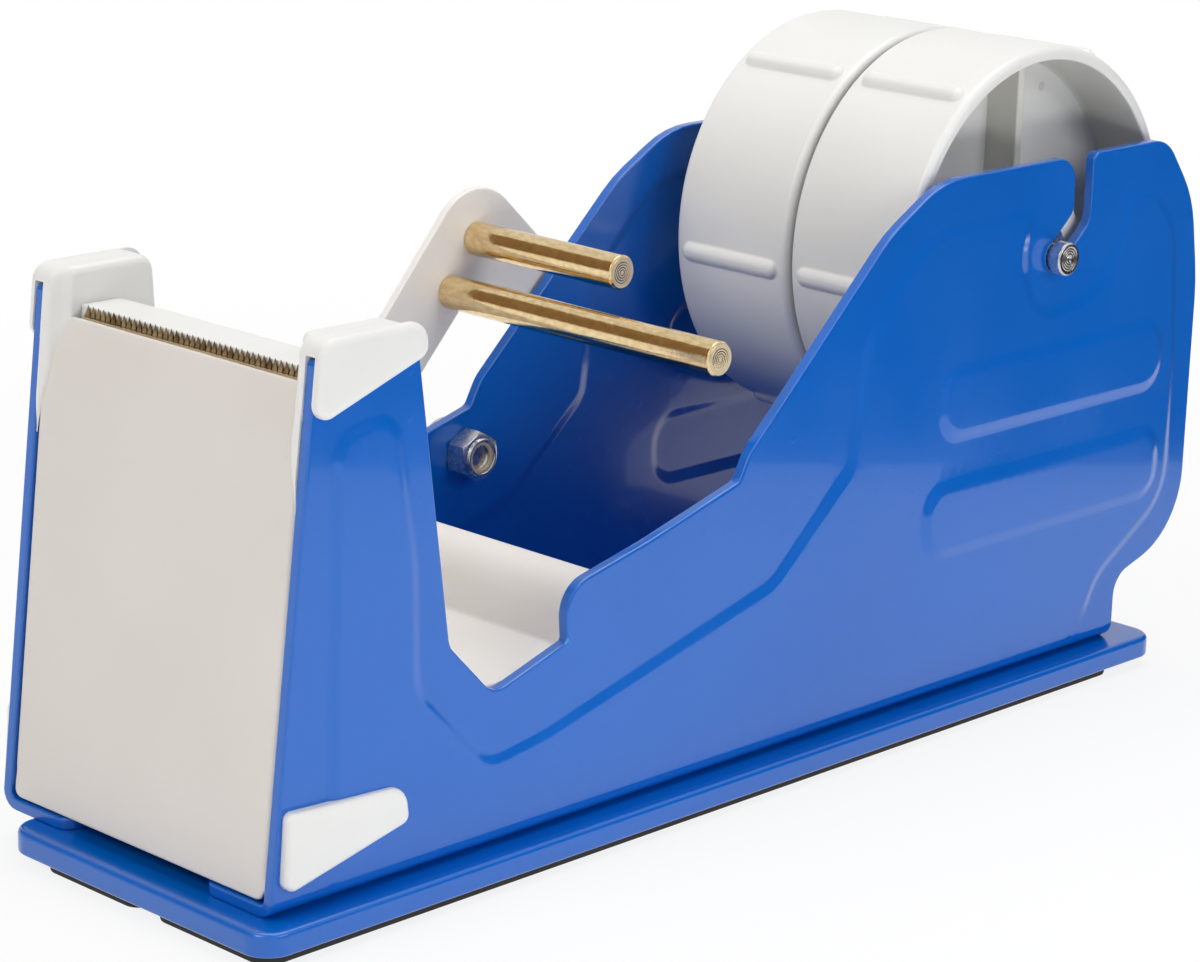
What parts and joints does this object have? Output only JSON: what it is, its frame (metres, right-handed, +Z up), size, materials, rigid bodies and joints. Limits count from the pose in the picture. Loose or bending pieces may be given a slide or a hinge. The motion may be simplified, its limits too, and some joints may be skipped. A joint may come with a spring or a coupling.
{
  "type": "multi-roll tape dispenser",
  "caption": "Counter tape dispenser: pressed steel side panels on a base, a toothed cutting column, a swinging guide with rods, and core wheels on a lift-out axle.",
  "frame": {"origin": "centre of the bounding box's bottom, on the surface that the dispenser stands on", "axes": "+X to the right as seen from the cutting column, +Y from the cutting column to the rolls, +Z up"},
  "size_m": [0.075, 0.2326, 0.1196],
  "materials": {
    "blue_paint": "glossy baked enamel",
    "white_paint": "satin white paint",
    "white_moulding": "semi-gloss moulding",
    "zinc_steel": "bright zinc plate",
    "gold_rod": "yellow plated, drawn",
    "blade_bronze": "spring steel with a bronze tint",
    "foot_rubber": "matt"
  },
  "bodies": {
    "frame": {"base_plate": "blue_paint", "foot_strip_left": "foot_rubber", "foot_strip_right": "foot_rubber", "side_panel_left": "blue_paint", "side_panel_right": "blue_paint", "base_screws": "zinc_steel", "front_plate": "white_paint", "landing_block": "white_moulding", "blade": "blade_bronze", "cap_left": "white_moulding", "cap_right": "white_moulding", "bumper_left": "white_moulding", "bumper_right": "white_moulding", "inner_chute": "white_paint", "pivot_bolt": "zinc_steel", "pivot_nut": "zinc_steel", "pivot_washer": "zinc_steel"},
    "tape_guide": {"guide_bracket": "white_paint", "guide_rod_short": "gold_rod", "guide_rod_long": "gold_rod"},
    "axle_set": {"axle": "zinc_steel", "axle_collar_left": "zinc_steel", "axle_collar_right": "zinc_steel", "axle_spacer": "white_moulding"},
    "left_wheel": {"wheel_left_rim": "white_moulding", "wheel_left_core": "white_moulding"},
    "right_wheel": {"wheel_right_rim": "white_moulding", "wheel_right_core": "white_moulding"}
  },
  "joints": [
    {"name": "guide_swing", "type": "hinge", "parent": "frame", "child": "tape_guide", "pos_m": [-0.03455, -0.0117, 0.0479], "axis": [1, 0, 0], "range_deg": [-22, 75]},
    {"name": "axle_lift", "type": "slide", "parent": "frame", "child": "axle_set", "axis": [0, 0.7547, 0.6561], "range_m": [0, 0.009]},
    {"name": "left_wheel_spin", "type": "hinge", "parent": "axle_set", "child": "left_wheel", "pos_m": [-0.01155, 0.0721, 0.0826], "axis": [1, 0, 0], "continuous": true},
    {"name": "right_wheel_spin", "type": "hinge", "parent": "axle_set", "child": "right_wheel", "pos_m": [0.01605, 0.0721, 0.0826], "axis": [1, 0, 0], "continuous": true}
  ]
}
